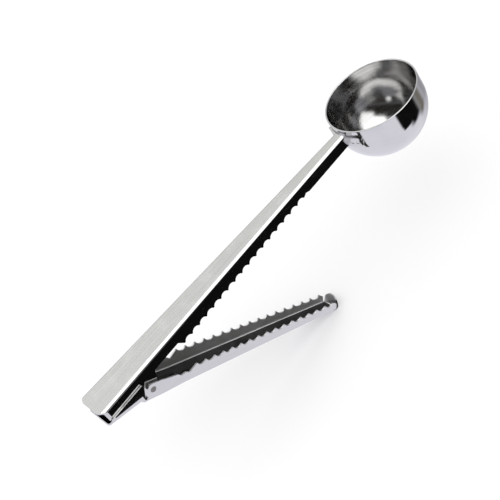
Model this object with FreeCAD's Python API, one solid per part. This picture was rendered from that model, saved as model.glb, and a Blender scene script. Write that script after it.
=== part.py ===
import FreeCAD, Part
import math
import os

# A measuring scoop whose handle is one half of a spring clip for closing bags.
#
# Working frame: the hinge pin runs along Y through X = 0, the flat top of the handle lies in
# Z = 0, the scoop is at +X, the thumb end at -X and the jaw hangs below.  The clip is drawn
# squeezed fully open.  place() then moves every piece so that the origin is in the middle
# of the bounding box's floor.  The jaw is drawn in its own frame, with the pin at the
# origin and the line of its tooth tips level, and turned down to the open angle.

Vec = FreeCAD.Vector
Y_AXIS = Vec(0, 1, 0)
Z_AXIS = Vec(0, 0, 1)

# --- driving dimensions, mm and degrees -------------------------------------------------
overall_length = 180.0
sheet = 0.7                    # stainless strip of the handle and the jaw
bend_radius = 1.3              # outside radius of the folded edges

bowl_radius = 19.6             # outside of the rim
bowl_wall = 0.7
bowl_depth = 25.3              # rim to the outside of the bottom
bowl_straight = 7.1            # upright part of the wall below the rim
rim_above_handle = 1.6
rim_rounding = 0.2

tail_length = 20.5             # thumb end of the handle to the pin
handle_width = 14.5            # at the pin
handle_taper = 0.0755          # width lost per mm towards the scoop
tail_edge = 5.2                # flange edge depths below the top face
neck_edge = 4.9
throat_edge = 5.1

pin_below_top = 9.3
pin_radius = 1.2
pin_clearance = 0.05           # in the jaw's holes, on the radius
pin_proud = 0.1                # of the jaw's ears, each end
pin_rounding = 0.15
lug_radius = 3.3               # handle flange round the pin

tooth_pitch = 4.2
tooth_depth = 1.15
tooth_flat = 0.5
handle_teeth = 18
first_handle_tooth = 20.6      # from the pin
handle_tip_depth = 7.95        # tip line below the top face, at the pin
handle_tip_rise = 0.0302       # and its rise per mm towards the scoop

ear_gap = 0.12                 # ears stand off the bowl between their spot welds
ear_end_angle = 29.0           # from the handle's centre line, round the bowl
ear_top = 0.9                  # below the handle's top face
ear_bottom = 5.5
weld_angles = (16.0, 22.5)
weld_radius = 0.8
weld_dent = 0.15
weld_touch = 0.01              # the nugget's end off the bowl's wall
neck_gap = 0.7                 # between the rim and the end of the handle's top

open_angle = 31.1              # top face to the jaw's tip line
jaw_teeth = 17
first_jaw_tooth = 20.15
jaw_tip_height = 2.53          # tip line above the pin
jaw_floor_at_pin = 4.43        # outside of the floor below the pin
jaw_floor_rise = 0.0341        # and its rise per mm towards the tip
jaw_kink = -3.0                # the floor bends away for the tail here
tail_fall = 0.231              # fall of the tail's floor per mm
jaw_tail_length = 19.0
jaw_side_gap = 0.15            # jaw ears outside the handle's flanges, each side
jaw_splay = 7.0                # lean of the toothed flanges
jaw_overlap_gap = 0.12         # leaning flanges outside the handle's, each side
tail_bend_radius = 3.6         # of the jaw's tail at tail_bend_end
tail_end_bend_radius = 2.4     # narrowing to this at the thumb end, round the handle's flanges
tail_bend_end = -4.6
splay_start = -3.5             # the tail's upright flanges end here
splay_end = -2.0               # and lean by jaw_splay from here on, past the notch
ear_crease = 4.0               # start of the crease in the flange beside the hinge
crease_start = 0.1             # its height there and at its end, above the pin
crease_end = -0.7
crease_fade = 15.0
crease_splay = 12.0            # lean of the flange above it
wall_top = 8.0                 # flanges are drawn this high and trimmed by the side outline
flange_end = 89.0
tab_start = 89.7               # upturned end of the floor
tab_radius = 3.9

wire_radius = 0.5
coil_radius = 2.4              # to the middle of the wire
coil_turns = 5
coil_pitch = 1.15
leg_reach = 14.0               # legs end this far behind the pin

bowl_x = overall_length - tail_length - bowl_radius
far_below = 40.0               # cutting prisms go well past the metal
half_span = 30.0


def point(x, y, z):
    return Vec(x, y, z)


def line(a, b):
    return Part.LineSegment(a, b).toShape()


def arc(a, middle, b):
    return Part.Arc(a, middle, b).toShape()


def outwards(shape):
    """The same shape with its faces looking out of the metal."""
    return shape.reversed() if shape.Volume < 0 else shape


def solid_of(shape):
    """The one solid of a boolean result, with merged faces."""
    cleaned = shape.removeSplitter()
    if len(cleaned.Solids) != 1:
        raise RuntimeError("expected one solid, found %d" % len(cleaned.Solids))
    return outwards(cleaned.Solids[0])


def handle_half_width(x):
    return 0.5 * (handle_width - handle_taper * x)


# --- folded channels ----------------------------------------------------------------------
def half_channel(half_width, floor, bend, splay, crease, upper_splay, thickness):
    """Corner points of one side of a channel, on the surface this far inside the outer one.

    The floor turns into the wall on the outside radius bend.  The wall leans outwards by
    splay up to the crease and by upper_splay above it.  Returns the floor tangent, the
    middle of the bend, the wall tangent, the crease and the wall's end, as (y, z) pairs.
    half_width is measured at the sharp outer corner of floor and wall.
    """
    lean = math.radians(splay)
    upper = math.radians(upper_splay)
    radius = bend - thickness
    centre_y = half_width - bend * (1 - math.sin(lean)) / math.cos(lean)
    centre_z = floor + bend

    def on_bend(angle):
        return (centre_y + radius * math.cos(angle), centre_z + radius * math.sin(angle))

    crease_y = half_width + (crease - floor) * math.tan(lean)
    mitre = thickness / math.cos((upper - lean) / 2)
    middle = (upper + lean) / 2
    end_y = crease_y + (wall_top - crease) * math.tan(upper) - thickness / math.cos(upper)
    return [
        (centre_y, centre_z - radius),
        on_bend(-(math.pi / 2 + lean) / 2),
        on_bend(-lean),
        (crease_y - mitre * math.cos(middle), crease + mitre * math.sin(middle)),
        (end_y, wall_top),
    ]


def channel_section(x, half_width, floor, bend, splay, crease, upper_splay):
    """Closed wire of a folded strip in the plane X = x, open at the top."""
    outer = half_channel(half_width, floor, bend, splay, crease, upper_splay, 0.0)
    inner = half_channel(half_width, floor, bend, splay, crease, upper_splay, sheet)
    right_out = [point(x, y, z) for y, z in outer]
    left_out = [point(x, -y, z) for y, z in outer]
    right_in = [point(x, y, z) for y, z in inner]
    left_in = [point(x, -y, z) for y, z in inner]
    edges = [
        line(left_out[4], left_out[3]),
        line(left_out[3], left_out[2]),
        arc(left_out[2], left_out[1], left_out[0]),
        line(left_out[0], right_out[0]),
        arc(right_out[0], right_out[1], right_out[2]),
        line(right_out[2], right_out[3]),
        line(right_out[3], right_out[4]),
        line(right_out[4], right_in[4]),
        line(right_in[4], right_in[3]),
        line(right_in[3], right_in[2]),
        arc(right_in[2], right_in[1], right_in[0]),
        line(right_in[0], left_in[0]),
        arc(left_in[0], left_in[1], left_in[2]),
        line(left_in[2], left_in[3]),
        line(left_in[3], left_in[4]),
        line(left_in[4], left_out[4]),
    ]
    return Part.Wire(edges)


def side_prism(edges):
    """A side outline in the XZ plane, as a solid right across the piece."""
    face = Part.Face(Part.Wire(edges))
    face.translate(Vec(0, -half_span, 0))
    return face.extrude(Vec(0, 2 * half_span, 0))


def tooth_edges(first, count, tip_height, depth):
    """Scalloped edge: flat-tipped teeth with round valleys between them.

    tip_height(x) is the height of the tip line and depth is signed, so that valleys lie
    above the tips of the handle and below the tips of the jaw.
    """
    half_flat = tooth_flat / 2
    edges = []
    for index in range(count):
        tip = first + index * tooth_pitch
        start = point(tip - half_flat, 0, tip_height(tip - half_flat))
        end = point(tip + half_flat, 0, tip_height(tip + half_flat))
        edges.append(line(start, end))
        if index < count - 1:
            low = tip + tooth_pitch / 2
            following = tip + tooth_pitch - half_flat
            valley = point(low, 0, tip_height(low) + depth)
            edges.append(arc(end, valley, point(following, 0, tip_height(following))))
    return edges


def outline_through(points):
    return [line(a, b) for a, b in zip(points, points[1:])]


# --- scoop bowl ---------------------------------------------------------------------------
def bowl_solid(radius, drop):
    """Filled bowl: an upright wall over a round bottom, flattened to the given drop."""
    shoulder = rim_above_handle - bowl_straight
    slant = math.sqrt(0.5)
    quarter = arc(point(0, 0, -radius), point(radius * slant, 0, -radius * slant),
                  point(radius, 0, 0))
    flatten = FreeCAD.Matrix()
    flatten.scale(1, 1, drop / radius)
    bottom = quarter.transformGeometry(flatten)
    bottom.translate(Vec(0, 0, shoulder))
    outline = [
        bottom.Edges[0],
        line(point(radius, 0, shoulder), point(radius, 0, rim_above_handle)),
        line(point(radius, 0, rim_above_handle), point(0, 0, rim_above_handle)),
        line(point(0, 0, rim_above_handle), point(0, 0, shoulder - drop)),
    ]
    wire = Part.Wire(Part.__sortEdges__(outline))
    return outwards(Part.Face(wire).revolve(point(0, 0, 0), Z_AXIS, 360))


def make_scoop_bowl():
    drop = bowl_depth - bowl_straight
    outside = bowl_solid(bowl_radius, drop)
    inside = bowl_solid(bowl_radius - bowl_wall, drop - bowl_wall)
    shell = outside.cut(inside)
    rim_edges = [edge for edge in shell.Edges if is_rim_edge(edge)]
    shell = shell.makeFillet(rim_rounding, rim_edges)
    shell.translate(Vec(bowl_x, 0, 0))
    return solid_of(shell)


def is_rim_edge(edge):
    box = edge.BoundBox
    flat = box.ZLength < 0.01
    return flat and abs(box.ZMax - rim_above_handle) < 0.01


# --- handle -------------------------------------------------------------------------------
def handle_outline():
    """Side outline of the handle: a long flat top over a shaped lower edge."""
    def tips(x):
        return -(handle_tip_depth - handle_tip_rise * x)

    last_tooth = first_handle_tooth + (handle_teeth - 1) * tooth_pitch
    teeth = tooth_edges(first_handle_tooth, handle_teeth, tips, tooth_depth)
    teeth_start = teeth[0].Vertexes[0].Point
    teeth_end = teeth[-1].Vertexes[-1].Point
    pin = -pin_below_top
    front = [
        point(lug_radius, 0, pin),
        point(lug_radius + 2.1, 0, -neck_edge),
        point(first_handle_tooth - 2.3, 0, -neck_edge),
        teeth_start,
    ]
    back = [
        teeth_end,
        point(last_tooth + 1.6, 0, -throat_edge + 0.7),
        point(last_tooth + 3.4, 0, -throat_edge),
        point(bowl_x, 0, -throat_edge),
        point(bowl_x, 0, 1),
        point(-tail_length, 0, 1),
        point(-tail_length, 0, -tail_edge + 2.0),
        point(-tail_length + 1.8, 0, -tail_edge),
        point(-lug_radius - 0.9, 0, -tail_edge),
        point(-lug_radius, 0, pin),
    ]
    lug = arc(back[-1], point(0, 0, pin - lug_radius), front[0])
    return outline_through(front) + teeth + outline_through(back) + [lug]


def tapered_block(start, end, inset, corner):
    """Solid bar under the plane Z = -inset, as wide as the handle less inset on each side.

    Its two long top edges are rounded to the corner radius.
    """
    near = handle_half_width(start) - inset
    far = handle_half_width(end) - inset
    plan = [point(start, -near, -inset), point(end, -far, -inset),
            point(end, far, -inset), point(start, near, -inset)]
    block = Part.Face(Part.makePolygon(plan + plan[:1])).extrude(Vec(0, 0, -2 * pin_below_top))
    long_edges = [edge for edge in block.Edges
                  if edge.BoundBox.ZMin > -inset - 0.01 and edge.BoundBox.XLength > 0.5 * overall_length]
    return block.makeFillet(corner, long_edges)


def handle_channel():
    outside = tapered_block(-tail_length, bowl_x, 0.0, bend_radius)
    inside = tapered_block(-tail_length - 1, bowl_x + 1, sheet, bend_radius - sheet)
    return outside.cut(inside)


def rounded_tail_plan(back, half_width, front, corner):
    """Plan outline of a strip with rounded corners at its thumb end, as a deep solid."""
    turn = corner * (1 - math.sqrt(0.5))
    left = [point(front, -half_width, 0), point(back + corner, -half_width, 0)]
    right = [point(back + corner, half_width, 0), point(front, half_width, 0)]
    lower = point(back, -half_width + corner, 0)
    upper = point(back, half_width - corner, 0)
    edges = [
        line(left[0], left[1]),
        arc(left[1], point(back + turn, -half_width + turn, 0), lower),
        line(lower, upper),
        arc(upper, point(back + turn, half_width - turn, 0), right[0]),
        line(right[0], right[1]),
        line(right[1], left[0]),
    ]
    face = Part.Face(Part.Wire(edges))
    face.translate(Vec(0, 0, -far_below))
    return face.extrude(Vec(0, 0, 2 * far_below))


def radial_cylinder(radius, angle, height, start, length, side):
    """A cylinder pointing out from the bowl's axis, measured from the handle's line."""
    turn = math.radians(180 + side * angle)
    heading = Vec(math.cos(turn), math.sin(turn), 0)
    base = Vec(bowl_x, 0, height) + heading * start
    return Part.makeCylinder(radius, length, base, heading)


def bowl_ear(side):
    """Tab of one flange, wrapped round the bowl with a round end and two spot welds.

    Each weld is a nugget that reaches the bowl across the gap, under a shallow dent.
    """
    inner = bowl_radius + ear_gap
    outer = inner + sheet
    height = ear_bottom - ear_top
    middle = -(ear_top + ear_bottom) / 2
    end_radius = height / 2
    start_angle = math.degrees(math.asin((handle_half_width(bowl_x - inner) - sheet) / inner))
    round_centre = ear_end_angle - math.degrees(end_radius / outer)
    ring_base = point(bowl_x, 0, -ear_bottom)
    ring = Part.makeCylinder(outer, height, ring_base)
    ring = ring.cut(Part.makeCylinder(inner, height, ring_base))
    wedge = sector_prism(start_angle, round_centre, side)
    strap = ring.common(wedge)
    tip = ring.common(radial_cylinder(end_radius, round_centre, middle, inner - 1, 4, side))
    ear = strap.fuse(tip)
    for angle in weld_angles:
        nugget = radial_cylinder(weld_radius, angle, middle, bowl_radius + weld_touch,
                                 ear_gap + sheet / 2, side)
        dent = radial_cylinder(weld_radius, angle, middle, outer - weld_dent, 2, side)
        ear = ear.fuse(nugget).cut(dent)
    return ear


def sector_prism(start_angle, end_angle, side):
    """Pie slice about the bowl's axis between two angles from the handle's line."""
    reach = 2 * bowl_radius

    def at(angle):
        turn = math.radians(180 + side * angle)
        return point(bowl_x + reach * math.cos(turn), reach * math.sin(turn), -far_below)

    corners = [point(bowl_x, 0, -far_below), at(start_angle), at(end_angle)]
    face = Part.Face(Part.makePolygon(corners + corners[:1]))
    return face.extrude(Vec(0, 0, 2 * far_below))


def make_handle():
    body = handle_channel().common(side_prism(handle_outline()))
    body = body.common(rounded_tail_plan(-tail_length, handle_half_width(-tail_length),
                                         bowl_x, 4.0))
    neck = Part.makeCylinder(bowl_radius + neck_gap, far_below, point(bowl_x, 0, -ear_top))
    body = body.cut(neck)
    around_bowl = Part.makeCylinder(bowl_radius + ear_gap, 2 * far_below,
                                    point(bowl_x, 0, -far_below))
    body = body.cut(around_bowl)
    for side in (-1, 1):
        body = body.fuse(bowl_ear(side))
    hole = Part.makeCylinder(pin_radius, 2 * half_span,
                             point(0, -half_span, -pin_below_top), Y_AXIS)
    return solid_of(body.cut(hole))


# --- jaw ----------------------------------------------------------------------------------
def jaw_floor(x):
    """Outside of the jaw's floor, in the jaw's own frame."""
    if x >= jaw_kink:
        return -jaw_floor_at_pin + jaw_floor_rise * x
    return jaw_floor(jaw_kink) + tail_fall * (x - jaw_kink)


def upright_half_width(x):
    return handle_half_width(x) + jaw_side_gap + sheet


def splayed_half_width(x, reach):
    """Half width at the floor's sharp corner, where the flanges lean outwards.

    The handle's flanges reach down to this height inside them, and clear them there by
    jaw_overlap_gap.
    """
    lean = math.radians(jaw_splay)
    inside = handle_half_width(x) + jaw_overlap_gap
    return inside + sheet / math.cos(lean) - (reach - jaw_floor(x)) * math.tan(lean)


def jaw_channel():
    """Folded strip of the jaw: upright flanges on the tail, leaning ones past the notch.

    The tail is folded on a larger radius than the rest.  Between ear_crease and the teeth
    the upper part of each flange is creased further out.
    """
    lug_reach = -lug_radius
    tooth_reach = jaw_tip_height - tooth_depth
    sections = []
    upright = [
        (-jaw_tail_length, tail_end_bend_radius),
        (tail_bend_end, tail_bend_radius),
        (splay_start, bend_radius),
    ]
    for x, bend in upright:
        sections.append(channel_section(x, upright_half_width(x), jaw_floor(x), bend,
                                        0, crease_start, 0))
    leaning = [
        (splay_end, lug_reach, crease_start, jaw_splay),
        (ear_crease, lug_reach, crease_start, jaw_splay),
        (ear_crease + 1.0, lug_reach, crease_start, crease_splay),
        (crease_fade, tooth_reach, crease_end, crease_splay),
        (crease_fade + 3.0, tooth_reach, crease_end, jaw_splay),
        (flange_end, tooth_reach, jaw_tip_height, jaw_splay),
    ]
    for x, reach, crease, upper in leaning:
        sections.append(channel_section(x, splayed_half_width(x, reach), jaw_floor(x),
                                        bend_radius, jaw_splay, crease, upper))
    return Part.makeLoft(sections, True, True)


def jaw_outline():
    """Side outline of the jaw, with its toothed edge, peak, notch and low end tooth."""
    def tips(_):
        return jaw_tip_height

    teeth = tooth_edges(first_jaw_tooth, jaw_teeth, tips, -tooth_depth)
    teeth_start = teeth[0].Vertexes[0].Point
    teeth_end = teeth[-1].Vertexes[-1].Point
    valley = jaw_tip_height - tooth_depth
    below = -far_below
    lead = [
        point(-jaw_tail_length, 0, below),
        point(-jaw_tail_length, 0, -6.0),
        point(-5.2, 0, 2.6),
    ]
    peak_end = point(-3.7, 0, 2.3)
    peak = arc(lead[-1], point(-4.35, 0, 2.95), peak_end)
    shoulder = [
        peak_end,
        point(-2.3, 0, 0.75),
        point(-1.6, 0, jaw_tip_height),
        point(4.0, 0, jaw_tip_height),
        point(11.2, 0, 1.5),
        point(13.0, 0, 0.2),
        point(15.0, 0, 0.9),
        point(16.8, 0, 0.0),
        teeth_start,
    ]
    close = [
        teeth_end,
        point(flange_end, 0, valley + 0.2),
        point(flange_end, 0, below),
        lead[0],
    ]
    return outline_through(lead) + [peak] + outline_through(shoulder) + teeth + outline_through(close)


def jaw_end_tab():
    """Floor of the jaw carried on past the flanges and turned up into a round tab."""
    outside = jaw_floor(tab_start)
    start = point(flange_end - 1, 0, jaw_floor(flange_end - 1))
    outer_end = tab_start + sheet
    bend_from = outer_end - bend_radius
    turn = bend_radius * (1 - math.sqrt(0.5))
    inner_radius = bend_radius - sheet
    inner_turn = inner_radius * (1 - math.sqrt(0.5))
    inside = outside + sheet
    top = 2 * tab_radius
    lower = [
        line(start, point(bend_from, 0, outside)),
        arc(point(bend_from, 0, outside), point(outer_end - turn, 0, outside + turn),
            point(outer_end, 0, outside + bend_radius)),
        line(point(outer_end, 0, outside + bend_radius), point(outer_end, 0, top)),
        line(point(outer_end, 0, top), point(tab_start, 0, top)),
    ]
    upper = [
        line(point(tab_start, 0, top), point(tab_start, 0, inside + inner_radius)),
        arc(point(tab_start, 0, inside + inner_radius),
            point(tab_start - inner_turn, 0, inside + inner_turn),
            point(tab_start - inner_radius, 0, inside)),
        line(point(tab_start - inner_radius, 0, inside), start + Vec(0, 0, sheet)),
        line(start + Vec(0, 0, sheet), start),
    ]
    strip = side_prism(lower + upper)
    width = Part.makeBox(40, 2 * tab_radius, far_below,
                         point(flange_end - 20, -tab_radius, -far_below))
    dome = Part.makeCylinder(tab_radius, 40, point(flange_end - 20, 0, 0), Vec(1, 0, 0))
    return strip.common(width.fuse(dome))


def to_open(shape):
    """Turn a shape from the jaw's own frame down to the open angle, at the pin."""
    turned = shape.copy()
    turned.rotate(point(0, 0, 0), Y_AXIS, open_angle)
    turned.translate(Vec(0, 0, -pin_below_top))
    return turned


def make_jaw():
    body = jaw_channel().common(side_prism(jaw_outline()))
    body = body.common(rounded_tail_plan(-jaw_tail_length, upright_half_width(-jaw_tail_length),
                                         splay_start + overall_length, 3.0))
    body = body.fuse(jaw_end_tab())
    hole = Part.makeCylinder(pin_radius + pin_clearance, 2 * half_span,
                             point(0, -half_span, 0), Y_AXIS)
    return to_open(solid_of(body.cut(hole)))


# --- hinge --------------------------------------------------------------------------------
def make_pin():
    """Plain pin through both flanges, its rounded ends flush outside the jaw's ears."""
    lean = math.radians(jaw_splay)
    outside = splayed_half_width(0, -lug_radius) - jaw_floor(0) * math.tan(lean)
    half_length = outside + pin_proud
    pin = Part.makeCylinder(pin_radius, 2 * half_length,
                            point(0, -half_length, -pin_below_top), Y_AXIS)
    rims = [edge for edge in pin.Edges if edge.BoundBox.YLength < 0.01]
    return solid_of(pin.makeFillet(pin_rounding, rims))


def tail_floor_inside(x):
    """Height of the open jaw's tail floor, inside, in the working frame."""
    own_kink = point(jaw_kink, 0, jaw_floor(jaw_kink) + sheet)
    own_end = point(-jaw_tail_length, 0, jaw_floor(-jaw_tail_length) + sheet)
    turn = FreeCAD.Rotation(Y_AXIS, open_angle)
    kink = turn.multVec(own_kink)
    end = turn.multVec(own_end)
    share = (x - kink.x) / (end.x - kink.x)
    return -pin_below_top + kink.z + share * (end.z - kink.z)


def sight_of(target):
    """Bearing of a point from the pin, and the angle from it to the coil's tangent point."""
    reach = target - point(0, 0, -pin_below_top)
    return math.atan2(reach.z, reach.x), math.acos(coil_radius / reach.Length)


def make_spring():
    """Torsion spring round the pin: a coil whose two legs press the tails apart.

    Seen along Y the upper leg meets the coil at its top, the wire winds clockwise, and the
    lower leg leaves from its bottom, so squeezing the tails winds it up.
    """
    under_handle = point(-leg_reach, 0, -sheet - wire_radius - 0.1)
    on_jaw = point(-leg_reach, 0, tail_floor_inside(-leg_reach) + wire_radius + 0.2)
    upper_bearing, upper_tangent = sight_of(under_handle)
    lower_bearing, lower_tangent = sight_of(on_jaw)
    start_angle = upper_bearing - upper_tangent
    end_angle = lower_bearing + lower_tangent
    turns = coil_turns + ((start_angle - end_angle) / (2 * math.pi)) % 1
    length = turns * coil_pitch
    helix = Part.makeHelix(coil_pitch, length, coil_radius)
    # the helix climbs along Z from the X axis; lay it along Y and turn its start into place
    helix.rotate(point(0, 0, 0), Vec(1, 0, 0), -90)
    helix.rotate(point(0, 0, 0), Y_AXIS, -math.degrees(start_angle))
    helix.translate(Vec(0, -length / 2, -pin_below_top))
    start = coil_point(start_angle, -length / 2)
    end = coil_point(end_angle, length / 2)
    upper_end = point(under_handle.x, start.y, under_handle.z)
    lower_end = point(on_jaw.x, end.y, on_jaw.z)
    edges = [line(upper_end, start)] + list(helix.Edges) + [line(end, lower_end)]
    path = Part.Wire(Part.__sortEdges__(edges))
    ring = Part.Wire(Part.makeCircle(wire_radius, upper_end, start - upper_end))
    mitred = 1
    return solid_of(path.makePipeShell([ring], True, True, mitred))


def coil_point(angle, y):
    return point(coil_radius * math.cos(angle), y, coil_radius * math.sin(angle) - pin_below_top)


# --- assembly -----------------------------------------------------------------------------
def make_pieces():
    return {
        "scoop_bowl": make_scoop_bowl(),
        "handle_channel": make_handle(),
        "clip_jaw": make_jaw(),
        "pivot_pin": make_pin(),
        "torsion_spring": make_spring(),
    }


def place(pieces):
    """Move every piece so that the origin is the middle of the bounding box's floor."""
    box = Part.makeCompound(list(pieces.values())).optimalBoundingBox(False, False)
    shift = Vec(-(box.XMin + box.XMax) / 2, -(box.YMin + box.YMax) / 2, -box.ZMin)
    for shape in pieces.values():
        shape.translate(shift)
    return shift


def main():
    os.makedirs("parts", exist_ok=True)
    pieces = make_pieces()
    shift = place(pieces)
    for name, shape in pieces.items():
        if not shape.isValid():
            raise RuntimeError("bad solid: " + name)
        shape.exportStep("parts/%s.step" % name)
    whole = Part.makeCompound(list(pieces.values())).optimalBoundingBox(False, False)
    print("box %.2f x %.2f x %.2f" % (whole.XLength, whole.YLength, whole.ZLength))
    print("pin axis at x %.3f, z %.3f" % (shift.x, shift.z - pin_below_top))
    print("top face at z %.3f" % shift.z)


main()
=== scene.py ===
import math

import bpy
from mathutils import Matrix, Vector


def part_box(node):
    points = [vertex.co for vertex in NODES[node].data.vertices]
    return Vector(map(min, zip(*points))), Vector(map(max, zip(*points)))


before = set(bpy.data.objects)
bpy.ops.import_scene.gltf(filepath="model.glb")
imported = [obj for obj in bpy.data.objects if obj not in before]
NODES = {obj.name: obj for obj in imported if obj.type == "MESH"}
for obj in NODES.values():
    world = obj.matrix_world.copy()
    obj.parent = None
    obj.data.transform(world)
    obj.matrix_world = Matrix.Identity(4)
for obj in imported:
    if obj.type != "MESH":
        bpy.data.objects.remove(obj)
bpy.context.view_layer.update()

# --- camera: looks down on the scoop from the front left, rolled clockwise ---------------
CAMERA_AT = Vector((-0.11436, -0.37103, 0.35812))
CAMERA_HEADING = math.radians(73.72)
CAMERA_PITCH = math.radians(-38.49)
CAMERA_ROLL = math.radians(-37.49)
CAMERA_LENS = 94.41


def camera_axes():
    """Right, up and forward of the camera in the row frame."""
    forward = Vector((math.cos(CAMERA_PITCH) * math.cos(CAMERA_HEADING),
                      math.cos(CAMERA_PITCH) * math.sin(CAMERA_HEADING),
                      math.sin(CAMERA_PITCH)))
    level_right = forward.cross(Vector((0, 0, 1))).normalized()
    level_up = level_right.cross(forward)
    right = level_right * math.cos(CAMERA_ROLL) + level_up * math.sin(CAMERA_ROLL)
    return right, right.cross(forward), forward


def add_camera():
    right, up, forward = camera_axes()
    data = bpy.data.cameras.new("camera")
    data.lens = CAMERA_LENS
    data.sensor_width = 36.0
    data.clip_start = 0.01
    camera = bpy.data.objects.new("camera", data)
    turn = Matrix((right, up, -forward)).transposed().to_4x4()
    camera.matrix_world = Matrix.Translation(CAMERA_AT) @ turn
    bpy.context.scene.collection.objects.link(camera)
    bpy.context.scene.camera = camera


add_camera()


# --- shader nodes -------------------------------------------------------------------------
class Graph:
    """Short names for the shader nodes that the materials and the world are made of."""

    def __init__(self, tree):
        self.tree = tree

    def node(self, kind, **settings):
        made = self.tree.nodes.new(kind)
        for name, value in settings.items():
            setattr(made, name, value)
        return made

    def put(self, value, socket):
        if isinstance(value, bpy.types.NodeSocket):
            self.tree.links.new(value, socket)
        else:
            socket.default_value = value

    def math(self, operation, a, b=0.0, clamp=False):
        made = self.node("ShaderNodeMath", operation=operation, use_clamp=clamp)
        self.put(a, made.inputs[0])
        self.put(b, made.inputs[1])
        return made.outputs[0]

    def vector(self, operation, a, b=(0, 0, 0)):
        made = self.node("ShaderNodeVectorMath", operation=operation)
        self.put(a, made.inputs[0])
        self.put(b, made.inputs[1])
        return made.outputs["Value" if operation in ("DOT_PRODUCT", "LENGTH") else "Vector"]

    def ramp(self, value, low, high, out_low=0.0, out_high=1.0, smooth=True):
        made = self.node("ShaderNodeMapRange", clamp=True,
                         interpolation_type="SMOOTHSTEP" if smooth else "LINEAR")
        for socket, item in zip(made.inputs, (value, low, high, out_low, out_high)):
            self.put(item, socket)
        return made.outputs["Result"]

    def window(self, value, low, high, soft):
        """1 between low and high and 0 outside, with soft edges."""
        rise = self.ramp(value, low - soft, low + soft)
        fall = self.ramp(value, high - soft, high + soft, 1.0, 0.0)
        return self.math("MULTIPLY", rise, fall)

    def mix(self, share, a, b):
        made = self.node("ShaderNodeMix", data_type="RGBA")
        self.put(share, made.inputs["Factor"])
        self.put(a, made.inputs[6])
        self.put(b, made.inputs[7])
        return made.outputs[2]

    def noise(self, vector, scale, detail=2.0, rough=0.5, w=None):
        made = self.node("ShaderNodeTexNoise", noise_dimensions="3D" if w is None else "4D")
        self.put(vector, made.inputs["Vector"])
        if w is not None:
            self.put(w, made.inputs["W"])
        self.put(scale, made.inputs["Scale"])
        self.put(detail, made.inputs["Detail"])
        self.put(rough, made.inputs["Roughness"])
        return made.outputs["Fac"]

    def split(self, vector):
        made = self.node("ShaderNodeSeparateXYZ")
        self.put(vector, made.inputs[0])
        return made.outputs[0], made.outputs[1], made.outputs[2]

    def join(self, x, y, z):
        made = self.node("ShaderNodeCombineXYZ")
        for socket, item in zip(made.inputs, (x, y, z)):
            self.put(item, socket)
        return made.outputs[0]

    def bump(self, height, strength, distance, under=None):
        made = self.node("ShaderNodeBump")
        self.put(height, made.inputs["Height"])
        self.put(strength, made.inputs["Strength"])
        self.put(distance, made.inputs["Distance"])
        if under is not None:
            self.put(under, made.inputs["Normal"])
        return made.outputs["Normal"]


# --- studio -------------------------------------------------------------------------------
LAMP_AT = (-0.25, -0.35, 1.1)
LAMP_SIZE = 1.2
LAMP_WATTS = 1.2
LAMP_AIM = (0, 0, 0.03)
ROOM_LEVEL = 1.07             # plain light of everything but the mirrored panels
FLOOR_HALF = 3.0


def grey(level, tint=(1.0, 1.0, 1.0)):
    return (level * tint[0], level * tint[1], level * tint[2], 1.0)


LAVENDER = (0.97, 0.965, 1.06)
WARM = (1.06, 1.0, 0.88)
SATIN = (0.985, 1.0, 0.97)


def studio_panels(g, across, height):
    """What the polished metal mirrors: panels by bearing and elevation round the camera.

    Bearing 0 is behind the camera and grows to its right, 180 is the backdrop.  Each panel
    covers those before it, and "soft" is how far its edge is blurred each way.
    """
    colour = g.mix(g.ramp(height, -14.0, 14.0), grey(0.92, LAVENDER), grey(0.55, LAVENDER))
    panels = [
        # bearings,      soft, elevations, soft, colour
        ((124.0, 181.0), 8.0, (16.0, 90.0), 6.0, grey(0.12)),
        ((-181.0, -156.0), 6.0, (16.0, 90.0), 6.0, grey(0.12)),
        ((-75.0, 80.0), 9.0, (-9.0, 28.0), 5.0, grey(0.03, WARM)),
        ((46.0, 90.0), 4.0, (-34.5, 14.0), 1.5, grey(0.006)),
        ((78.0, 105.0), 7.0, (-25.0, 5.0), 7.0, grey(0.006)),
        ((68.0, 89.0), 3.0, (-41.0, -25.0), 2.5, grey(0.006)),
        ((-88.0, 18.0), 6.0, (-30.0, -8.0), 4.0, grey(0.04, WARM)),
        ((-41.0, -30.0), 4.0, (-23.0, -15.0), 4.0, grey(1.8)),
        ((104.0, 122.0), 7.0, (-4.0, 22.0), 6.0, grey(0.20, WARM)),
        ((-98.0, 38.0), 10.0, (31.0, 66.0), 4.0, grey(2.2)),
        ((-30.0, 20.0), 6.0, (23.0, 40.0), 4.0, grey(2.4)),
        ((-152.0, -100.0), 6.0, (30.0, 68.0), 5.0, grey(0.80, SATIN)),
        ((0.0, 46.0), 5.0, (12.0, 41.0), 5.0, grey(1.9)),
    ]
    for bearings, side_soft, heights, end_soft, paint in panels:
        share = g.math("MULTIPLY", g.window(across, *bearings, side_soft),
                       g.window(height, *heights, end_soft))
        colour = g.mix(share, colour, paint)
    return colour


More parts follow.
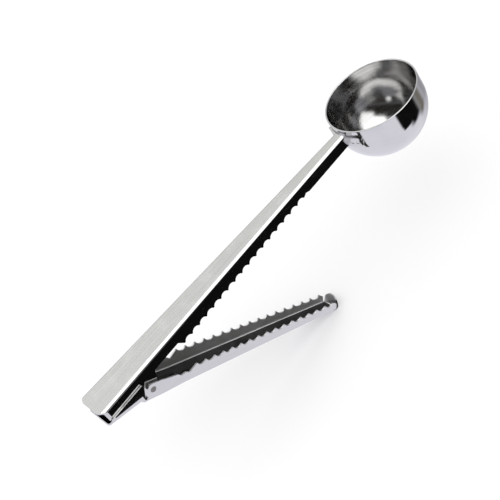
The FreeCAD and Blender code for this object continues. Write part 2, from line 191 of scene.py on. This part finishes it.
def add_world():
    world = bpy.data.worlds.new("studio")
    bpy.context.scene.world = world
    world.use_nodes = True
    world.cycles.sampling_method = "NONE"
    world.node_tree.nodes.clear()
    g = Graph(world.node_tree)
    right, up, forward = camera_axes()
    ray = g.node("ShaderNodeTexCoord").outputs["Generated"]
    x = g.vector("DOT_PRODUCT", ray, tuple(right))
    y = g.vector("DOT_PRODUCT", ray, tuple(up))
    z = g.vector("DOT_PRODUCT", ray, tuple(-forward))
    across = g.math("DEGREES", g.math("ARCTAN2", x, z))
    height = g.math("DEGREES", g.math("ARCSINE", y))
    mirrored = g.node("ShaderNodeLightPath").outputs["Is Glossy Ray"]
    colour = g.mix(mirrored, grey(ROOM_LEVEL), studio_panels(g, across, height))
    background = g.node("ShaderNodeBackground")
    g.put(colour, background.inputs["Color"])
    out = g.node("ShaderNodeOutputWorld")
    g.tree.links.new(background.outputs[0], out.inputs["Surface"])


def add_floor():
    half = FLOOR_HALF
    mesh = bpy.data.meshes.new("floor")
    mesh.from_pydata([(-half, -half, 0), (half, -half, 0), (half, half, 0), (-half, half, 0)],
                     [], [(0, 1, 2, 3)])
    floor = bpy.data.objects.new("floor", mesh)
    bpy.context.scene.collection.objects.link(floor)
    floor.visible_glossy = False
    material = bpy.data.materials.new("floor_paper")
    material.use_nodes = True
    shader = material.node_tree.nodes["Principled BSDF"]
    shader.inputs["Roughness"].default_value = 0.9
    shader.inputs["Base Color"].default_value = grey(0.95)
    shader.inputs["Specular IOR Level"].default_value = 0.0
    mesh.materials.append(material)


def add_lamp(name, at, size, power):
    data = bpy.data.lights.new(name, "AREA")
    data.shape = "DISK"
    data.size = size
    data.energy = power
    lamp = bpy.data.objects.new(name, data)
    lamp.location = at
    lamp.rotation_euler = (Vector(LAMP_AIM) - Vector(at)).to_track_quat("-Z", "Y").to_euler()
    lamp.visible_glossy = False
    bpy.context.scene.collection.objects.link(lamp)


add_world()
add_floor()
add_lamp("overhead", LAMP_AT, LAMP_SIZE, LAMP_WATTS)


# --- steels -------------------------------------------------------------------------------
def new_material(name):
    material = bpy.data.materials.new(name)
    material.use_nodes = True
    g = Graph(material.node_tree)
    shader = material.node_tree.nodes["Principled BSDF"]
    shader.inputs["Metallic"].default_value = 1.0
    return material, g, shader


def assign(node, material):
    for slot in NODES[node].material_slots:
        slot.material = material


def in_metres(g, turn=0.0, about=(0.0, 0.0, 0.0)):
    """Position in the row frame, turned about Y so that X runs along the piece."""
    coords = g.node("ShaderNodeTexCoord")
    place = g.vector("SUBTRACT", coords.outputs["Object"], about)
    normal = coords.outputs["Normal"]
    if turn:
        turned = []
        for vector in (place, normal):
            rotate = g.node("ShaderNodeVectorRotate", rotation_type="Y_AXIS")
            g.put(vector, rotate.inputs["Vector"])
            g.put(turn, rotate.inputs["Angle"])
            turned.append(rotate.outputs[0])
        place, normal = turned
    return place, normal


INNER_FLOOR_HALF_WIDTH = 0.0067     # the tail's sheared edges all lie further out
MASK_EDGE = 0.0001


def folded_inside(g, place, normal, open_sign, floor_below):
    """Shares of a folded strip's inner floor, which takes painted shade, and inner walls; it opens
    towards open_sign Z.
    """
    _, ny, nz = g.split(normal)
    _, py, pz = g.split(place)
    facing = g.ramp(g.math("MULTIPLY", nz, open_sign), 0.85, 0.97)
    low = g.ramp(g.math("MULTIPLY", pz, open_sign), floor_below - MASK_EDGE, floor_below,
                 1.0, 0.0)
    floor = g.math("MULTIPLY", facing, low)
    between = g.ramp(g.math("ABSOLUTE", py), INNER_FLOOR_HALF_WIDTH - MASK_EDGE,
                     INNER_FLOOR_HALF_WIDTH + MASK_EDGE, 1.0, 0.0)
    floor = g.math("MULTIPLY", floor, between)
    walls = g.ramp(g.math("MULTIPLY", ny, py), -0.0028, -0.0018, 1.0, 0.0)
    return floor, walls


def strip_steel(name, turn, about, face_rough, wall_rough, cut_above, cut_sign, floor_below):
    """Rolled stainless strip: brush lines along it, smudges, and duller sheared edges.

    Heights are in the piece's own frame and count up towards cut_sign Z.  Sheared edges lie
    above cut_above.  The inner floor, under floor_below, is near-black painted shade; the
    inner walls are rougher, with a smudged tone of their own.
    """
    material, g, shader = new_material(name)
    place, normal = in_metres(g, turn, about)
    lines = g.noise(g.vector("MULTIPLY", place, (60.0, 7000.0, 7000.0)), 1.0, 3.0, 0.6)
    streaks = g.noise(g.vector("MULTIPLY", place, (22.0, 1500.0, 1500.0)), 1.0, 2.0, 0.5)
    smudges = g.noise(place, 95.0, 3.0, 0.55)
    _, ny, nz = g.split(normal)
    _, _, pz = g.split(place)
    flat = g.ramp(g.math("ABSOLUTE", nz), 0.75, 0.95)
    across = g.math("ABSOLUTE", ny)
    cut = g.math("MULTIPLY", g.ramp(across, 0.2, 0.5, 1.0, 0.0),
                 g.ramp(g.math("MULTIPLY", pz, cut_sign), cut_above, cut_above + 0.0003))
    rough = g.math("ADD", wall_rough, g.math("MULTIPLY", flat, face_rough - wall_rough))
    rough = g.math("ADD", rough, g.ramp(streaks, 0.3, 0.7, -0.015, 0.03))
    rough = g.math("ADD", rough, g.ramp(smudges, 0.45, 0.7, 0.0, 0.06))
    rough = g.math("MAXIMUM", rough, g.math("MULTIPLY", cut, 0.42))
    shade = g.mix(g.ramp(streaks, 0.3, 0.7), grey(0.64, (1.0, 0.995, 0.98)),
                  grey(0.67, (1.0, 0.995, 0.985)))
    shade = g.mix(g.math("MULTIPLY", cut, 0.6), shade, grey(0.74))
    floor, walls = folded_inside(g, place, normal, cut_sign, floor_below)
    dull = g.ramp(smudges, 0.35, 0.7)
    shade = g.mix(walls, shade, g.mix(dull, grey(0.60, (1.0, 1.0, 0.96)), grey(0.70)))
    rough = g.math("MAXIMUM", rough, g.math("MULTIPLY", walls, 0.5))
    # painted shade: the channel's inner floor is near-black, mottled by the smudges
    shade = g.mix(floor, shade, g.mix(dull, grey(0.02), grey(0.05)))
    g.put(shade, shader.inputs["Base Color"])
    g.put(rough, shader.inputs["Roughness"])
    depth = g.math("ADD", g.math("MULTIPLY", lines, 0.5), g.math("MULTIPLY", streaks, 0.5))
    g.put(g.bump(depth, 0.03, 0.0001), shader.inputs["Normal"])
    return material


BOWL_STRAIGHT = 0.0071              # upright part of the bowl's wall


def bowl_steel():
    """Spun bowl: polished outside; inside duller, with ring-shaped brushing and a darker base
    colour that is painted shade.
    """
    material, g, shader = new_material("spun_steel")
    low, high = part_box("scoop_bowl")
    centre = ((low.x + high.x) / 2, 0.0, high.z - BOWL_STRAIGHT)
    place, normal = in_metres(g, about=centre)
    x, y, z = g.split(place)
    radius = g.math("SQRT", g.math("ADD", g.math("MULTIPLY", x, x), g.math("MULTIPLY", y, y)))
    safe = g.math("MAXIMUM", radius, 0.0005)
    round_x = g.math("DIVIDE", x, safe)
    round_y = g.math("DIVIDE", y, safe)
    inward = g.ramp(g.vector("DOT_PRODUCT", place, normal), -0.002, 0.002, 1.0, 0.0)

    def rings(pitch, wander):
        spot = g.join(g.math("DIVIDE", radius, pitch), g.math("DIVIDE", z, pitch),
                      g.math("MULTIPLY", round_x, wander))
        return g.noise(spot, 1.0, 3.0, 0.6, w=g.math("MULTIPLY", round_y, wander))

    fine = rings(0.00022, 1.3)
    broad = rings(0.0011, 0.8)
    smudges = g.noise(place, 110.0, 3.0, 0.55)
    inside = g.math("ADD", 0.13, g.ramp(fine, 0.3, 0.7, -0.03, 0.05))
    inside = g.math("ADD", inside, g.ramp(broad, 0.3, 0.7, -0.03, 0.03))
    outside = g.math("ADD", 0.05, g.ramp(broad, 0.4, 0.7, 0.0, 0.03))
    outside = g.math("ADD", outside, g.ramp(smudges, 0.5, 0.75, 0.0, 0.05))
    rough = g.math("ADD", outside, g.math("MULTIPLY", inward, g.math("SUBTRACT", inside, outside)))
    # painted shade: the inside's base colour is darker than the outside's, varied by the broad
    # brushing rings
    inside_rings_and_painted_shade = g.mix(g.ramp(broad, 0.3, 0.7), grey(0.46, (1.0, 0.985, 0.96)), grey(0.56))
    shade_out = g.mix(g.ramp(smudges, 0.4, 0.7), grey(0.69, (1.0, 0.99, 0.98)), grey(0.65))
    g.put(g.mix(inward, shade_out, inside_rings_and_painted_shade), shader.inputs["Base Color"])
    g.put(rough, shader.inputs["Roughness"])
    depth = g.math("MULTIPLY", g.math("ADD", fine, broad), g.math("ADD", 0.08, inward))
    g.put(g.bump(depth, 0.12, 0.00012), shader.inputs["Normal"])
    return material


def wire_steel(name, rough_base, pitch):
    """Drawn or turned steel: fine lines, darker grease in patches."""
    material, g, shader = new_material(name)
    place, _ = in_metres(g)
    lines = g.noise(g.vector("MULTIPLY", place, (1.0, 0.25, 1.0)), 1.0 / pitch, 3.0, 0.6)
    patches = g.noise(place, 260.0, 2.0, 0.5)
    rough = g.math("ADD", rough_base, g.ramp(lines, 0.3, 0.7, -0.05, 0.08))
    g.put(rough, shader.inputs["Roughness"])
    shade = g.mix(g.ramp(patches, 0.4, 0.65), grey(0.56), grey(0.44, WARM))
    g.put(shade, shader.inputs["Base Color"])
    g.put(g.bump(lines, 0.12, 0.0001), shader.inputs["Normal"])
    return material


PIN_X = -0.06949
PIN_Z = 0.047384
JAW_TURN = math.radians(-31.1)
TOP_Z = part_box("handle_channel")[1].z

handle_strip = strip_steel("handle_strip", turn=0.0, about=(0.0, 0.0, TOP_Z), face_rough=0.22,
                           wall_rough=0.03, cut_above=0.003, cut_sign=-1.0, floor_below=0.0012)
jaw_strip = strip_steel("jaw_strip", turn=JAW_TURN, about=(PIN_X, 0.0, PIN_Z), face_rough=0.10,
                        wall_rough=0.04, cut_above=-0.0026, cut_sign=1.0, floor_below=-0.0004)
assign("handle_channel", handle_strip)
assign("clip_jaw", jaw_strip)
assign("scoop_bowl", bowl_steel())
assign("pivot_pin", wire_steel("pin_steel_turned", 0.38, 0.0003))
assign("torsion_spring", wire_steel("spring_wire", 0.22, 0.00025))

bpy.context.scene.view_settings.view_transform = "Standard"
